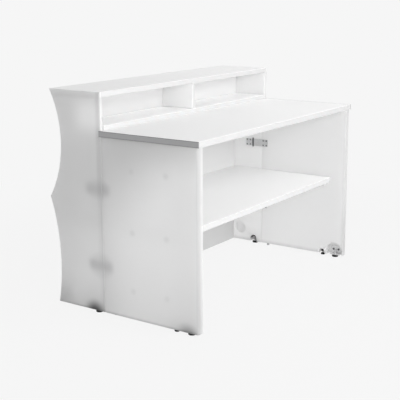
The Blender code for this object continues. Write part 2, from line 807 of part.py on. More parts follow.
def seam_fittings(material):
    """Upper and lower plates across each seam, each with a lock plate beside it on the end."""
    roll = SEAM_PLATE_CUSTOMER + PLATE_GAP + ROLL_WIDTH / 2
    lock_outer = roll + ROLL_WIDTH / 2 + LOCK_PLATE_LENGTH
    levels = {"upper": UPPER_PLATE_HEIGHT, "lower": LOWER_PLATE_HEIGHT}
    for name, side in SIDES.items():
        for level, height in levels.items():
            plate(f"seam_plate_{level}_{name}", side, -SEAM_PLATE_STAFF, SEAM_PLATE_CUSTOMER, height, material)
            lock = plate(f"lock_plate_{level}_{name}", side, lock_outer, roll, height, material)
            shade(combine(lock, [rolled_edge(side, roll, height)], "UNION"))


# Lighting

def channel_levels():
    """Heights of the three light channels: below the top, behind the cusp and above the driver."""
    low = BASE_BOARD_TOP + DRIVER_HEIGHT + LOW_CHANNEL_RISE
    return {"upper": UNDER_TOP - TOP_CHANNEL_DROP, "middle": CUSP_HEIGHT, "lower": low}


def light_channels(channel_material, strip_material):
    """Metal channels on the customers' side of the back boards, each with its light strip."""
    end = HALF - PANEL - CHANNEL_INSET
    back = SEAM_Y + BACK_REACH + CLEAR
    mouth = back + CHANNEL_DEPTH
    web = back + CHANNEL_WALL
    for level, height in channel_levels().items():
        low = height - CHANNEL_HEIGHT / 2
        high = height + CHANNEL_HEIGHT / 2
        outline = [
            (back, low), (mouth, low), (mouth, low + CHANNEL_WALL), (web, low + CHANNEL_WALL),
            (web, high - CHANNEL_WALL), (mouth, high - CHANNEL_WALL), (mouth, high), (back, high),
        ]
        prism(f"light_channel_{level}", outline, 0, -end, end, channel_material)
        strip_low = (-end, web + CLEAR, height - STRIP_HEIGHT / 2)
        strip_high = (end, web + CLEAR + STRIP_BOARD, height + STRIP_HEIGHT / 2)
        block(f"light_strip_{level}", strip_low, strip_high, strip_material)


def driver_box():
    """Low and high corners of the light driver, on the base board near the right end."""
    right = HALF - PANEL - DRIVER_INSET
    back = SEAM_Y + BACK_REACH + CHANNEL_DEPTH
    low = (right - DRIVER_LENGTH, back, BASE_BOARD_TOP + CLEAR)
    high = (right, back + DRIVER_DEPTH, BASE_BOARD_TOP + CLEAR + DRIVER_HEIGHT)
    return low, high


def driver(material):
    """Slim light driver with rounded long edges."""
    low, high = driver_box()
    item = block("light_driver", low, high, material)
    round_edges(item, DRIVER_ROUND, 2, lambda a, b: abs(a.x - b.x) > DRIVER_LENGTH / 2)


def lead(name, points, material):
    """A round lead along a smooth curve through its points."""
    curve = bpy.data.curves.new(name, "CURVE")
    curve.dimensions = "3D"
    curve.bevel_depth = LEAD_RADIUS
    curve.bevel_resolution = 2
    curve.use_fill_caps = True
    smooth = smooth_route(points)
    spline = curve.splines.new("POLY")
    spline.points.add(len(smooth) - 1)
    for target, point in zip(spline.points, smooth):
        target.co = (*point, 1.0)
    curve.materials.append(material)
    item = bpy.data.objects.new(name, curve)
    bpy.context.scene.collection.objects.link(item)


def smooth_route(points, steps=4):
    """A route with each corner rounded, over at most half of the shorter run beside it."""
    route = [Vector(p) for p in points]
    smooth = [route[0]]
    for a, b, c in zip(route, route[1:], route[2:]):
        cut = min(LEAD_BEND, (a - b).length / 2.2, (c - b).length / 2.2)
        enter = b + (a - b).normalized() * cut
        leave = b + (c - b).normalized() * cut
        for i in range(steps + 1):
            t = i / steps
            smooth.append(enter * (1 - t) ** 2 + b * 2 * t * (1 - t) + leave * t**2)
    return smooth + [route[-1]]


def leads(material):
    """Leads from the driver's end up the right end of the light box, one to each light strip."""
    low, high = driver_box()
    strip_end = HALF - PANEL - CHANNEL_INSET
    riser = HALF - PANEL - CLEAR - LEAD_END_INSET
    levels = channel_levels()
    start_z = (low[2] + high[2]) / 2
    strip_y = SEAM_Y + BACK_REACH + 2 * CLEAR + CHANNEL_WALL + CHANNEL_DEPTH / 2
    for index, level in enumerate(("lower", "middle", "upper")):
        start_y = low[1] + (index + 1) * DRIVER_DEPTH / 4
        x = riser - (2 - index) * LEAD_PITCH
        top = levels[level]
        points = [
            (high[0] + CLEAR, start_y, start_z),
            (x, start_y, start_z),
            (x, strip_y, start_z + 2 * LEAD_BEND),
            (x, strip_y, top),
            (strip_end + CLEAR, strip_y, top),
        ]
        lead(f"light_lead_{level}", points, material)


def centre_origins():
    """Puts the origin of each fixed piece at the middle of its own box."""
    for item in bpy.data.objects:
        if item.type == "MESH" and item.location.length == 0:
            corners = [Vector(corner) for corner in item.bound_box]
            middle = (corners[0] + corners[6]) / 2
            item.data.transform(Matrix.Translation(-middle))
            item.location = middle


def main():
    clear_scene()
    milky = finish("milky_moulding", (0.86, 0.87, 0.87), 0.45)
    board = finish("white_board", (0.91, 0.91, 0.90), 0.40)
    aluminium = finish("satin_aluminium", (0.62, 0.63, 0.64), 0.35, 1.0)
    steel = finish("zinc_steel", (0.50, 0.51, 0.52), 0.38, 1.0)
    black = finish("black_plastic", (0.02, 0.02, 0.02), 0.55)
    grey = finish("grey_plastic", (0.45, 0.45, 0.46), 0.50)
    strip = finish("light_strip", (0.95, 0.94, 0.88), 0.30)
    counter_top(board)
    worktop(board)
    worktop_strips(aluminium)
    shelf(board)
    shelf_rails(board)
    cabinet(board)
    light_box(milky, board)
    end_shells(milky)
    legs(milky)
    glides(grey)
    feet(black)
    foot_brackets(steel)
    seam_fittings(steel)
    light_channels(aluminium, strip)
    driver(grey)
    leads(grey)
    centre_origins()


main()
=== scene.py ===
"""Looks of the bar counter: a finish for every piece, its small fittings, and the studio stage.

Metres, +Z up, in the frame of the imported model. X runs along the counter, staff stand on its -Y
side and customers on its +Y side. A reach is a distance from the seam plane, where the legs meet
the moulded ends, positive towards the customers.
"""

import math

import bmesh
import bpy
from bpy.props import FloatProperty, FloatVectorProperty, PointerProperty
from mathutils import Matrix, Vector


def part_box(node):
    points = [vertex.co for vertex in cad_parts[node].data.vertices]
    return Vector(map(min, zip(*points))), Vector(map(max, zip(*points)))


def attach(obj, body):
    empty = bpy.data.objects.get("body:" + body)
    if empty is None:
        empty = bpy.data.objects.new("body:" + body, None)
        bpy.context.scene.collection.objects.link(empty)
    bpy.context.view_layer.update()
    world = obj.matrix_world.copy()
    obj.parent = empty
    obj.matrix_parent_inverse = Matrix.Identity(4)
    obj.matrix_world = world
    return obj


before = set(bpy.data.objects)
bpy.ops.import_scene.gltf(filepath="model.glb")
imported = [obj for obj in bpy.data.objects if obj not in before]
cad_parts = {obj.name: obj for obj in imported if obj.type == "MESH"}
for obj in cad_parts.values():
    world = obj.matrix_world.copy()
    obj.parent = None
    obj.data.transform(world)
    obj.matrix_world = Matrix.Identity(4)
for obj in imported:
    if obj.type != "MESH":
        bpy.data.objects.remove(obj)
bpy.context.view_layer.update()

bl_info = {
    "name": "Bar counter looks",
    "version": (1, 0, 0),
    "blender": (4, 5, 0),
    "location": "3D View > Sidebar > Bar counter",
    "description": "Finishes, small fittings and studio stage of the wave-fronted bar counter",
    "category": "Object",
}

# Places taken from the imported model
END_LOW, END_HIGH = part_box("end_shell_left")
LEG_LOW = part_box("leg_left")[0]
SEAM_Y = END_LOW.y
HALF = -END_LOW.x
INNER_FACE = -END_HIGH.x
SIDES = {"left": -1.0, "right": 1.0}
PLATE_LEVELS = ("upper", "lower")
LIGHT_LEVELS = ("upper", "middle", "lower")

# Width and height of the round-headed recesses of the feet
NICHE = (0.100, 0.076)
END_ARCH = (0.045, 0.040)

# Depths below the outer face over which its finish fades in, and behind the inner face where a recess starts
OUTER_DEPTHS = (0.0045, 0.0015)
RECESS_DEPTHS = (0.001, 0.003)

# Heights over which the painted shade along the lower edge of a moulding fades out, on its outer and inner
# faces
OUTER_EDGE = 0.018
INNER_EDGE = 0.028

# Share of the light that goes through a milky skin
TRANSLUCENCY = 0.40

# Posts between the skins of a leg, and the radius of their shadows
POST_REACHES = (-0.180, -0.380)
POST_HEIGHTS = (0.154, 0.443, 0.740)
POST_SHADOW = 0.024

# Shadow of the plates at each level: its drop, its shift towards the customers and its halo's extra height
PLATE_SHADOWS = {"upper": (0.013, -0.008, 0.008), "lower": (0.011, -0.018, 0.022)}
PLATE_CORE = (0.070, 0.023)
PLATE_CORE_SOFT = 0.042
PLATE_HALO = (0.030, 0.034)
HALO_CORE = 0.5
HALO_SHARE = 0.38

# Painted light and shade of the moulded ends: each tone starts from a base and changes by a weight at each
# place
END_FACE = 0.634
END_FACE_WEIGHTS = {
    "cabinet": 0.20,
    "lower": 0.050,
    "middle_band": -0.065,
    "seam": -0.10,
    "low_seam": 0.06,
    "low_seam_line": -0.08,
    "toe_side": -0.05,
    "base": -0.13,
    "lower_edge": -0.32,
}
END_INNER = 1.02
END_INNER_WEIGHTS = {"staff_edge": -0.20, "lower_edge": -0.25, "top": -0.045, "foot": -0.14}
# Shares of the painted shadows on an end: of the plates, of its lower corner towards the customers, of the
# foot, and of the painted shade in the foot's recess
END_SHADOWS = {"plates": 0.70, "toe": 0.68, "foot": 0.92, "recess_shade": 0.9}

# Painted light and shade of the legs, on the outer face, the inner face and the staff edge, and the shares of
# their painted shadows
LEG_FACE = 0.838
LEG_FACE_WEIGHTS = {
    "corner": -0.36,
    "under_top": -0.12,
    "near_seam": 0.05,
    "base": -0.12,
    "lower_edge": -0.36,
    "heel": -0.10,
    "staff_side": -0.05,
}
LEG_INNER = 0.95
LEG_INNER_WEIGHTS = {"staff_side": -0.075, "niche": -0.22, "niche_rim": -0.16, "lower_edge": -0.28}
LEG_EDGE = 0.54
LEG_EDGE_WEIGHTS = {"right": 0.20, "inwards": 0.31, "right_inwards": -0.44, "base": -0.08}
LEG_SHADOWS = {"posts": 0.22, "plates": 0.66, "foot": 0.56}

# Axis of each board's thickness
BOARD_AXES = {
    "counter_top": 2,
    "worktop": 2,
    "shelf": 2,
    "cabinet_floor": 2,
    "light_box_base": 2,
    "shelf_rail_left": 2,
    "shelf_rail_right": 2,
    "cabinet_back": 1,
    "service_panel": 1,
    "cabinet_divider": 0,
}

# Painted light and shade on some boards: the axis along which a board's tone changes, and its tones at the
# low and high ends
BOARD_FADES = {
    "counter_top": (0, 0.885, 1.03),
    "worktop": (0, 0.92, 1.03),
    "shelf": (1, 1.05, 1.02),
    "cabinet_divider": (1, 0.88, 0.76),
}

# Tones of the boards that have one tone, and of the edge bands that differ from the rest; these tones paint
# light and shade
BOARD_TONES = {"cabinet_floor": 1.04, "service_panel": 0.745}
EDGE_TONES = {"worktop": 0.91, "cabinet_floor": 1.05}

# Tone of the cabinet's back with painted light and shade, what each place adds to it, and how dark the
# painted shade in the far corner of the shelf is
CABINET_BACK = 0.72
CABINET_BACK_WEIGHTS = {"lower_half": 0.08, "upper_half": 0.25, "left_low": -0.10, "right_half": -0.025}
SHELF_CORNER = 0.06

# Shade on the service panel: on all of it below the shelf, and what is added towards the floor
PANEL_SHADE = 0.06
PANEL_SHADE_LOW = 0.16

# Edge band of a board: where it starts and the hairline beside it
BAND_START = (0.0002, 0.0009)
HAIRLINE = 0.0012

# Chips of a light strip, with a cutting mark after every third one
CHIP_PITCH = 0.0166
CHIP_HALF = 0.0025
MARK_PITCH = 3 * CHIP_PITCH
MARK_HALF = 0.0015

# Levelling feet: where the stem starts, the pitch of its thread and its length above a recess
STEM_START = (0.0112, 0.0118)
THREAD_PITCH = 0.0015
STEM_GRIP = 0.030

# Corners of a turned ring, and the angle from which an edge is sharp
RING_CORNERS = 36
SHARP_ANGLE = math.radians(40)

# Bush of an end's foot: levels are below the recess's crown, the dome has insets from the bush's radius
BUSH_BORE = 0.0046
BUSH_TOP = -0.0025
BUSH_LOW = -0.0104
BUSH_EASE = 0.0006
BUSH_DOME = ((0.0010, BUSH_LOW), (0.0, -0.0096), (0.0002, -0.0072), (0.0022, -0.0044), (0.0052, -0.0028))

# Grip of a leg's foot, with a round collar on top; a slope has its inset and its height
GRIP_BORE = 0.0036
GRIP_EASE = 0.0008
GRIP_SLOPE = (0.0016, 0.0014)
COLLAR_RADII = (0.0060, 0.0052)
COLLAR_HEIGHT = 0.0022

# Sole round a foot's pad
SOLE_BORE = 0.0085
SOLE_LOW = 0.0003
SOLE_HIGH = 0.0098
SOLE_LOW_SLOPE = (0.0012, 0.0013)
SOLE_HIGH_SLOPE = (0.0014, 0.0014)

# Pan head as shares of its radius and height, from the end of the shank to the rim of the recess
HEAD_STEPS = ((0.5, -1.0), (0.5, 0.0), (0.94, 0.0), (1.0, 0.15), (0.97, 0.45), (0.86, 0.80), (0.68, 0.97))
RECESS_FLOOR = (0.7, 0.35)
SCREW_TWIST = 0.7

# Screws on the plates and on the foot brackets
PLATE_STANDS = 0.0033
PLATE_HOLE_INSET = 0.008
PLATE_HOLE_PITCH = 0.022
PLATE_HOLE_ROW = 0.014
BRACKET_SHEET = 0.003
BRACKET_HOLE_DROP = 0.021
BRACKET_HOLE_SPREAD = 0.0165
BRACKET_SCREW_SCALE = 1.4

# Photograph's camera
PHOTO_PIXELS = 400
FOCAL_PIXELS = 905.79
AXIS_ROW = 180
CAMERA_PLACE = (-4.01018, -2.66353, 1.57691)
CAMERA_TURN = -55.687
CAMERA_DIP = 11.983
CAMERA_ROLL = -0.224
SENSOR_WIDTH = 36.0

# Softboxes: where each stands, what it is aimed at, its width and its height
SOFTBOXES = {
    "key": ((-5.4, -5.6, 1.9), (0.0, 0.0, 0.6), (3.4, 3.0)),
    "front": ((0.2, -4.7, 3.1), (0.0, 0.0, 0.5), (3.0, 2.2)),
    "top": ((0.1, -0.5, 4.2), (0.0, -0.1, 0.9), (3.4, 2.6)),
    "back": ((1.2, 5.0, 1.3), (0.0, 0.4, 0.5), (2.4, 1.2)),
}

# Floor: its corners, and the distances over which its own shading melts away
FLOOR_CORNERS = 96
FLOOR_FADE = (1.2, 3.0)

# Colour sockets of a Mix node
MIX_FIRST = 6
MIX_SECOND = 7


def length_property(name, description, default):
    """A size in metres."""
    return FloatProperty(name=name, description=description, default=default, unit="LENGTH")


def colour_property(name, description, default):
    """A colour of a finish or of the stage."""
    return FloatVectorProperty(name=name, description=description, default=default, subtype="COLOR")


def power_property(name, description, default):
    """The power of a softbox in watts."""
    return FloatProperty(name=name, description=description, default=default, subtype="POWER", unit="POWER")


class CounterSizes(bpy.types.PropertyGroup):
    """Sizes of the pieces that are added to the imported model."""

    screw_radius: length_property("Screw head radius", "Radius of a pan head", 0.0048)
    screw_height: length_property("Screw head height", "Height of a pan head", 0.0024)
    recess_reach: length_property("Recess reach", "Half length of the cross recess", 0.0026)
    recess_width: length_property("Recess width", "Half width of the cross recess", 0.0007)
    bush_radius: length_property("Bush radius", "Radius of the domed bush over an end's foot", 0.0120)
    grip_flat: length_property("Grip flat", "From a foot's axis to the six flats of its grip", 0.0108)
    grip_height: length_property("Grip height", "Height of the six-sided grip", 0.0080)
    grip_gap: length_property("Grip gap", "From a leg's lower edge up to the grip", 0.0095)
    end_sole: length_property("End sole", "Radius of the sole under an end's foot", 0.0174)
    niche_sole: length_property("Niche sole", "Radius of the sole of the foot in a leg's niche", 0.0185)
    floor_radius: length_property("Floor radius", "Radius of the studio floor", 9.0)


class CounterColours(bpy.types.PropertyGroup):
    """Colours of the finishes and of the stage."""

    milky: colour_property(
        "Milky moulding", "Translucent white plastic of the ends, legs and wave front", (0.98, 0.98, 0.98)
    )
    # Painted shadow colour of the plates, posts and channels behind a milky skin
    milky_shadow: colour_property(
        "Shadow in the moulding", "Tone of the parts that show through the milky skins", (0.30, 0.30, 0.305)
    )
    # Painted shadow colour of a black foot behind a milky skin, also used for the painted shade in a foot's
    # recess
    foot_shadow: colour_property(
        "Foot in the moulding", "Tone of a black foot close behind a milky skin", (0.015, 0.015, 0.016)
    )
    board: colour_property("White board", "White faced board", (0.95, 0.95, 0.95))
    # Edge bands are painted darker than the white board, as shade on the edges that face the lamps
    edge_band: colour_property("Edge band", "Band on the edges of the boards", (0.60, 0.60, 0.60))
    aluminium: colour_property("Satin aluminium", "Worktop's edge strips", (0.36, 0.36, 0.365))
    zinc: colour_property("Zinc plate", "Plates and brackets", (0.66, 0.66, 0.665))
    steel: colour_property("Dark steel", "Screws and the plates' rolled edges", (0.16, 0.16, 0.165))
    black: colour_property("Black plastic", "Pads, soles, grips and bushes", (0.008, 0.008, 0.0085))
    grey: colour_property("Grey plastic", "Glides, driver and leads", (0.42, 0.42, 0.43))
    strip: colour_property("Light strip", "White face of a light strip", (0.86, 0.86, 0.83))
    copper: colour_property("Copper", "Pads at a light strip's cutting marks", (0.72, 0.42, 0.20))
    chip: colour_property("Light chip", "Yellow chips of a light strip", (0.90, 0.72, 0.16))
    floor: colour_property("Floor", "Studio floor", (0.93, 0.93, 0.93))
    backdrop: colour_property("Backdrop", "Pale studio background", (0.9216, 0.9216, 0.9216))


class CounterStage(bpy.types.PropertyGroup):
    """Light of the studio."""

    room: FloatProperty(name="Room light", description="Level of the even light of the room", default=0.45)
    key: power_property("Key", "Softbox at the staff's left", 318.0)
    front: power_property("Front", "Softbox above the staff", 143.0)
    top: power_property("Top", "Softbox overhead", 19.0)
    back: power_property("Back", "Low softbox on the customers' side", 60.0)
    floor_share: FloatProperty(
        name="Floor shadow",
        description="How much of the floor's own shading the camera sees",
        default=0.06,
        subtype="FACTOR",
    )


class Shade:
    """One socket of a finish, for use in Python expressions."""

    def __init__(self, finish, socket):
        self.finish = finish
        self.socket = socket

    def other(self, name):
        """Another output of the same node."""
        return Shade(self.finish, self.socket.node.outputs[name])

    def maths(self, operation, *values):
        """A Math node on values."""
        return self.finish.node("ShaderNodeMath", {"operation": operation}, dict(enumerate(values)))

    def __add__(self, value):
        return self.maths("ADD", self, value)

    def __radd__(self, value):
        return self.maths("ADD", value, self)

    def __sub__(self, value):
        return self.maths("SUBTRACT", self, value)

    def __rsub__(self, value):
        return self.maths("SUBTRACT", value, self)

    def __mul__(self, value):
        return self.maths("MULTIPLY", self, value)

    def __rmul__(self, value):
        return self.maths("MULTIPLY", value, self)

    def __truediv__(self, value):
        return self.maths("DIVIDE", self, value)

    def __pow__(self, value):
        return self.maths("POWER", self, value)

    def __mod__(self, value):
        return self.maths("FLOORED_MODULO", self, value)

    def __abs__(self):
        return self.maths("ABSOLUTE", self)

    def sine(self):
        """The sine of an angle in radians."""
        return self.maths("SINE", self)

    def least(self, value):
        """The smaller of two values."""
        return self.maths("MINIMUM", self, value)

    def most(self, value):
        """The larger of two values."""
        return self.maths("MAXIMUM", self, value)

    def rise(self, low, high):
        """A smooth step from 0 at low to 1 at high."""
        settings = {"interpolation_type": "SMOOTHSTEP"}
        inputs = {"Value": self, "From Min": low, "From Max": high, "To Min": 0.0, "To Max": 1.0}
        return self.finish.node("ShaderNodeMapRange", settings, inputs)

    def fall(self, low, high):
        """A smooth step from 1 at low to 0 at high."""
        return 1 - self.rise(low, high)

    def near(self, centre, half, soft):
        """1 within a half width of a centre, 0 beyond it, over a soft edge."""
        return abs(self - centre).fall(half - soft / 2, half + soft / 2)


class Nodes:
    """A node tree that shades are made in."""

    def __init__(self, tree):
        self.tree = tree

    def node(self, kind, settings, inputs):
        """A node with its settings and then its sockets set; gives its first shown output."""
        made = self.tree.nodes.new(kind)
        for key, value in settings.items():
            setattr(made, key, value)
        for key, value in inputs.items():
            self.feed(made.inputs[key], value)
        shown = [output for output in made.outputs if output.enabled]
        return Shade(self, shown[0])

    def feed(self, socket, value):
        """Links a shade to a socket, or sets a plain value on it."""
        if isinstance(value, Shade):
            self.tree.links.new(value.socket, socket)
        elif socket.type == "RGBA":
            socket.default_value = (*value[:3], 1.0)
        else:
            socket.default_value = value

    def seen_directly(self):
        """1 for rays that show the stage to the camera, also in metal and glass."""
        path = self.node("ShaderNodeLightPath", {}, {})
        return path.most(path.other("Is Glossy Ray")).most(path.other("Is Transmission Ray"))

    def show(self, output, share, first, second):
        """Shows a first shader at an output, with a share of a second one."""
        mixed = self.node("ShaderNodeMixShader", {}, {0: share, 1: first, 2: second})
        self.feed(self.tree.nodes[output].inputs["Surface"], mixed)


class Finish(Nodes):
    """A material and the nodes that paint it."""

    def __init__(self, name):
        self.material = bpy.data.materials.new(name)
        self.material.use_nodes = True
        super().__init__(self.material.node_tree)
        self.shader = self.tree.nodes["Principled BSDF"]
        self.place = self.node("ShaderNodeTexCoord", {}, {}).other("Object")
        self.x = self.node("ShaderNodeSeparateXYZ", {}, {"Vector": self.place})
        self.y = self.x.other("Y")
        self.z = self.x.other("Z")
        self.axes = (self.x, self.y, self.z)

    def stretched(self, factors):
        """Coordinates of the surface, scaled along each axis."""
        return self.node("ShaderNodeVectorMath", {"operation": "MULTIPLY"}, {0: self.place, 1: factors})

    def noise(self, scale, detail=2.0, place=None):
        """Soft noise from 0 to 1."""
        inputs = {"Vector": place or self.place, "Scale": scale, "Detail": detail}
        return self.node("ShaderNodeTexNoise", {}, inputs)

    def cells(self, scale):
        """A random value for each grain of a crystal pattern."""
        vector = {"Vector": self.place, "Scale": scale}
        colour = self.node("ShaderNodeTexVoronoi", {}, vector).other("Color")
        return self.node("ShaderNodeSeparateColor", {}, {"Color": colour})

    def blend(self, share, first, second):
        """A mix of two colours."""
        inputs = {0: share, MIX_FIRST: first, MIX_SECOND: second}
        return self.node("ShaderNodeMix", {"data_type": "RGBA"}, inputs)

    def toned(self, colour, tone):
        """A colour made lighter or darker by a tone around 1."""
        vector = {0: colour, "Scale": tone}
        return self.node("ShaderNodeVectorMath", {"operation": "SCALE"}, vector)

    def bump(self, height, depth, strength):
        """Surface normal from a height in units of a depth."""
        return self.node("ShaderNodeBump", {}, {"Strength": strength, "Distance": depth, "Height": height})

    def patch(self, centre, half, soft):
        """A soft rectangle round a centre in Y and Z."""
        return self.y.near(centre[0], half[0], soft) * self.z.near(centre[1], half[1], soft)

    def blot(self, centre, radii, core=0.0):
        """A soft oval round a centre in Y and Z."""
        across = (self.y - centre[0]) / radii[0]
        up = (self.z - centre[1]) / radii[1]
        return ((across * across + up * up) ** 0.5).fall(core, 1.0)

    def paint(self, **sockets):
        """Feeds the shader's sockets and gives the material."""
        for name, value in sockets.items():
            self.feed(self.shader.inputs[name.replace("_", " ")], value)
        return self.material

    def overlay(self, share, shader):
        """Lays a share of another shader over the painted one and gives the material."""
        self.show("Material Output", share, Shade(self, self.shader.outputs[0]), shader)
        return self.material


def colours(context):
    """The counter's colours."""
    return context.scene.counter_colours


def middle(node):
    """Middle of a carried-over node's box."""
    low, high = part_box(node)
    return (low + high) / 2


def dress(material, *nodes):
    """Gives a finish to carried-over nodes."""
    for node in nodes:
        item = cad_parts[node]
        item.data.materials.clear()
        item.data.materials.append(material)


def total(shades):
    """Sum of a list of shades."""
    return sum(shades[1:], shades[0])


def by_place(base, weights, places):
    """A tone that starts from a base and changes by a weight at each place."""
    return base + total([weights[name] * shade for name, shade in places.items()])


def either(share, first, second):
    """A first tone where a share is 1, and a second one where it is 0."""
    return share * first + (1 - share) * second


# Milky mouldings

def milky_skin(finish, tint, tone, through, dark_shade=None):
    """Paints a milky skin: its tone by place, which holds painted light and shade, and painted shadows of the
    things behind it.
    """
    cloud = finish.noise(scale=3.2, detail=3.0)
    peel = finish.noise(scale=420.0)
    skin = finish.toned(tint.milky, tone * (0.985 + 0.03 * cloud))
    # Painted shadows of the plates, posts and light channels behind the skin
    colour = finish.blend(through, skin, tint.milky_shadow)
    share = TRANSLUCENCY
    # Painted dark shadow of a foot or its bracket behind the skin, and painted shade in a foot's recess;
    # where they lie, less light goes through
    if dark_shade is not None:
        colour = finish.blend(dark_shade, colour, tint.foot_shadow)
        share = TRANSLUCENCY * (1 - dark_shade)
    finish.paint(
        Base_Color=colour,
        Roughness=0.42 + 0.10 * cloud + 0.05 * peel,
        Normal=finish.bump(peel, depth=0.0003, strength=0.35),
    )
    lit = finish.node("ShaderNodeBsdfTranslucent", {}, {"Color": tint.milky})
    return finish.overlay(share, lit)


def outer_face(finish):
    """1 on the outer face of an end or a leg."""
    return abs(finish.x).rise(HALF - OUTER_DEPTHS[0], HALF - OUTER_DEPTHS[1])


def recessed_part(finish):
    """1 on what lies behind the inner face of an end or a leg."""
    return abs(finish.x).rise(INNER_FACE + RECESS_DEPTHS[0], INNER_FACE + RECESS_DEPTHS[1])


def base_line(finish, height):
    """1 along the lower edge of a moulding, fading out at a height above it, where painted shade lies."""
    return finish.z.fall(END_LOW.z, END_LOW.z + height)


def arch_reach(finish, y, size):
    """Distance from the axis of a round-headed recess, which is half its width all along its outline."""
    radius = size[0] / 2
    across = finish.y - y
    up = (finish.z - (END_LOW.z + size[1] - radius)).most(0.0)
    return (across * across + up * up) ** 0.5


def plate_shadows(finish):
    """Soft shadows of the plates across the seam, each a core in a wider halo."""
    shadows = []
    for level, (drop, shift, spread) in PLATE_SHADOWS.items():
        staff_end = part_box(f"seam_plate_{level}_left")[0].y
        customer_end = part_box(f"lock_plate_{level}_left")[1].y
        height = middle(f"seam_plate_{level}_left").z
        centre = ((staff_end + customer_end) / 2 + shift, height - drop)
        radii = (PLATE_CORE[0] + PLATE_HALO[0], PLATE_CORE[1] + PLATE_HALO[1] + spread)
        core = finish.patch(centre, PLATE_CORE, PLATE_CORE_SOFT)
        halo = finish.blot(centre, radii, HALO_CORE)
        shadows.append(HALO_SHARE * halo + (1 - HALO_SHARE) * core)
    return total(shadows)


def end_material(context):
    """Moulded end: painted light and shade, lighter beside the cabinet, with painted soft shadows of the
    plates and the foot behind it.
    """
    finish = Finish("milky_end")
    z = finish.z
    reach = finish.y - SEAM_Y
    outer = outer_face(finish)
    foot = middle("foot_left_end_staff").y
    beside_cabinet = z.near(centre=0.985, half=0.07, soft=0.11)
    seam = reach.near(centre=0.014, half=0.015, soft=0.014)
    seam_line = reach.near(centre=0.008, half=0.004, soft=0.006)
    low_seam = z.fall(0.52, 0.62)
    # Painted light and shade on the outer face, lighter beside the cabinet and darker at the seam and towards
    # the floor
    face_places = {
        "cabinet": reach.near(centre=0.075, half=0.075, soft=0.11) * beside_cabinet,
        "lower": z.fall(0.40, 0.64) * reach.fall(0.02, 0.30),
        "middle_band": z.near(centre=0.64, half=0.21, soft=0.18),
        "seam": seam,
        "low_seam": low_seam * seam,
        "low_seam_line": low_seam * seam_line,
        "toe_side": z.fall(0.30, 0.50) * reach.rise(0.20, 0.36),
        "base": z.fall(0.02, 0.22),
        "lower_edge": base_line(finish, OUTER_EDGE),
    }
    # Painted shade on the inner face: at the staff edge, along the lower edge, at the top and round the foot
    inner_places = {
        "staff_edge": reach.fall(0.006, 0.012) * z.rise(0.90, 0.92),
        "lower_edge": base_line(finish, INNER_EDGE),
        "top": z.rise(0.92, 0.94),
        "foot": finish.blot(centre=(foot, 0.030), radii=(0.110, 0.080)),
    }
    face = by_place(END_FACE, END_FACE_WEIGHTS, face_places)
    inner = by_place(END_INNER, END_INNER_WEIGHTS, inner_places)
    # Painted shade at the lower corner towards the customers
    toe = finish.blot(centre=(SEAM_Y + 0.285, 0.030), radii=(0.120, 0.130))
    through = plate_shadows(finish) * END_SHADOWS["plates"] + toe * END_SHADOWS["toe"]
    # Painted dark shadow of the foot behind the outer skin
    dark_shade = finish.blot(centre=(foot + 0.008, 0.008), radii=(0.084, 0.072), core=0.15)
    # Painted shade along the crown of the foot's recess, behind the inner face
    recess_shade = arch_reach(finish, foot, END_ARCH).near(centre=END_ARCH[0] / 2, half=0.0012, soft=0.001)
    recess_shade = recess_shade * recessed_part(finish) * z.rise(0.024, 0.032)
    dark = either(outer, dark_shade * END_SHADOWS["foot"], recess_shade * END_SHADOWS["recess_shade"])
    return milky_skin(finish, colours(context), either(outer, face, inner), through * outer, dark)


